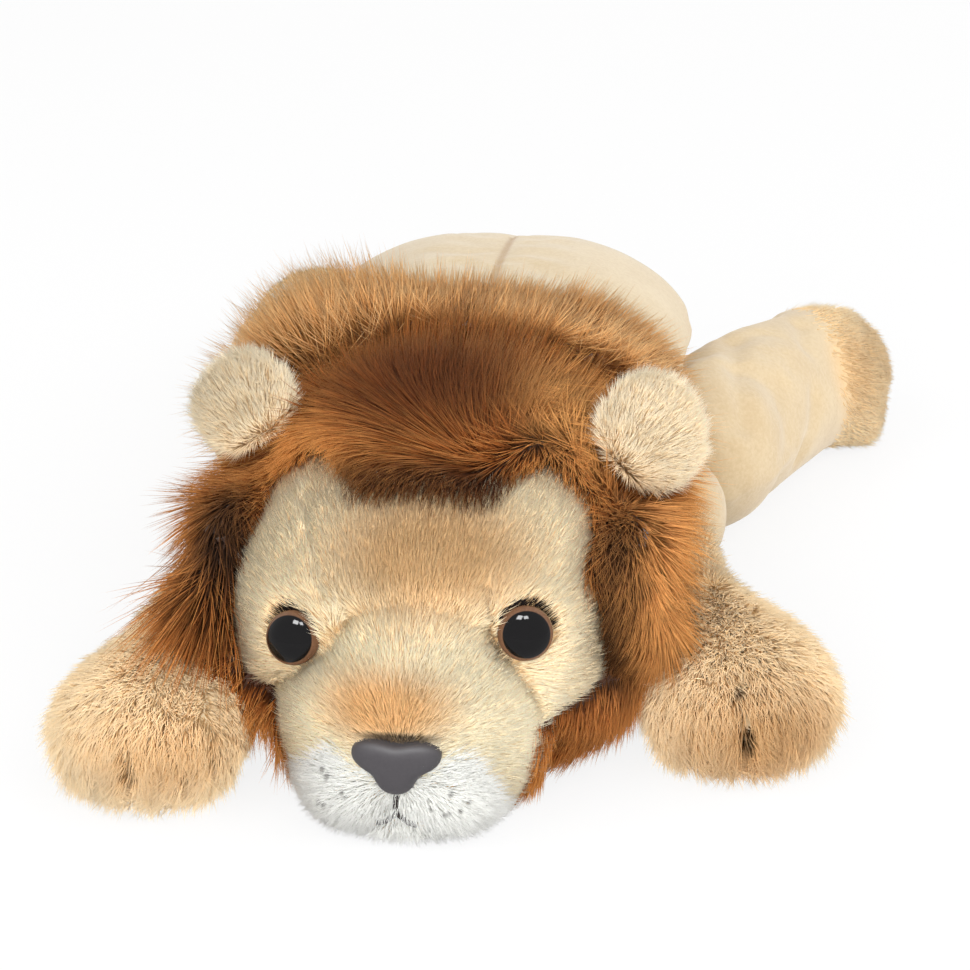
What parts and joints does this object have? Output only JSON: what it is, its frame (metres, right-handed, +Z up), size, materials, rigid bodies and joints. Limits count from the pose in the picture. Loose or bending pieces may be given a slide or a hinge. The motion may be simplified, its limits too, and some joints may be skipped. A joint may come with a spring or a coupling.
{
  "type": "plush lion",
  "caption": "Plush lion lying flat with its chin on the floor, legs splayed and a long-pile mane round a pale face; the head lifts and the legs and tail swing.",
  "frame": {"origin": "middle of the footprint, on the floor that the lion lies on", "axes": "+X towards the lion's left, which is the right of a viewer who faces it; +Y from nose to tail; +Z up"},
  "size_m": [0.2034, 0.3294, 0.0935],
  "materials": {
    "body_plush": "short smooth pale tan pile",
    "face_plush": "short dense warm tan pile",
    "muzzle_plush": "short cream pile, orange-tan over the bridge",
    "ear_plush": "medium pale tan pile",
    "paw_plush": "medium shaggy tan pile",
    "mane_plush": "long brown pile with dark roots and golden tips",
    "collar_plush": "long golden brown pile",
    "white_plush": "short dense white pile",
    "filling": "loose polyester fibre",
    "pellet_cloth": "plain woven bag of plastic pellets",
    "mouth_thread": "dark embroidery thread",
    "eye": "glossy black dome with a brown ring at its rim",
    "nose": "matte dark grey moulding",
    "washer": "plain moulded locking washer"
  },
  "bodies": {
    "torso": {"mane_collar": "collar_plush", "back_panel_left": "body_plush", "back_panel_right": "body_plush", "belly_panel": "body_plush", "pellet_bag": "pellet_cloth", "body_filling": "filling"},
    "head": {"face_panel": "face_plush", "head_back_panel": "collar_plush", "muzzle_panel": "muzzle_plush", "muzzle_white_left": "white_plush", "muzzle_white_right": "white_plush", "chin_panel": "white_plush", "mouth_thread": "mouth_thread", "nose": "nose", "nose_washer": "washer", "head_filling": "filling", "eye_left": "eye", "eye_right": "eye", "eye_washer_left": "washer", "eye_washer_right": "washer", "ear_front_left": "ear_plush", "ear_back_left": "ear_plush", "ear_front_right": "ear_plush", "ear_back_right": "ear_plush", "mane_crown": "mane_plush", "mane_flap_left": "mane_plush", "mane_flap_right": "mane_plush"},
    "leg_front_right": {"leg_cover_front_right": "body_plush", "paw_cover_front_right": "paw_plush", "leg_filling_front_right": "filling"},
    "leg_front_left": {"leg_cover_front_left": "body_plush", "paw_cover_front_left": "paw_plush", "leg_filling_front_left": "filling"},
    "leg_hind_right": {"leg_cover_hind_right": "body_plush", "paw_cover_hind_right": "paw_plush", "leg_filling_hind_right": "filling"},
    "leg_hind_left": {"leg_cover_hind_left": "body_plush", "paw_cover_hind_left": "paw_plush", "leg_filling_hind_left": "filling"},
    "tail": {"tail_cover": "body_plush", "tail_filling": "filling", "tail_tuft": "mane_plush"}
  },
  "joints": [
    {"name": "head_lift", "type": "hinge", "parent": "torso", "child": "head", "pos_m": [-0.00894, -0.0419, 0.044], "axis": [-1, 0, 0], "range_deg": [0, 15], "stiffness_Nm_per_rad": 0.1},
    {"name": "shoulder_right", "type": "hinge", "parent": "torso", "child": "leg_front_right", "pos_m": [-0.06094, -0.0139, 0.026], "axis": [0, 0, -1], "range_deg": [0, 20], "stiffness_Nm_per_rad": 0.05},
    {"name": "shoulder_left", "type": "hinge", "parent": "torso", "child": "leg_front_left", "pos_m": [0.04306, -0.0139, 0.026], "axis": [0, 0, 1], "range_deg": [0, 20], "stiffness_Nm_per_rad": 0.05},
    {"name": "hip_right", "type": "hinge", "parent": "torso", "child": "leg_hind_right", "pos_m": [-0.06794, 0.0336, 0.026], "axis": [0, 0, 1], "range_deg": [0, 15], "stiffness_Nm_per_rad": 0.05},
    {"name": "hip_left", "type": "hinge", "parent": "torso", "child": "leg_hind_left", "pos_m": [0.05006, 0.0336, 0.026], "axis": [0, 0, 1], "range_deg": [-15, 15], "stiffness_Nm_per_rad": 0.05},
    {"name": "tail_swing", "type": "hinge", "parent": "torso", "child": "tail", "pos_m": [-0.00894, 0.1191, 0.029], "axis": [0, 0, 1], "range_deg": [-25, 3], "stiffness_Nm_per_rad": 0.02}
  ]
}
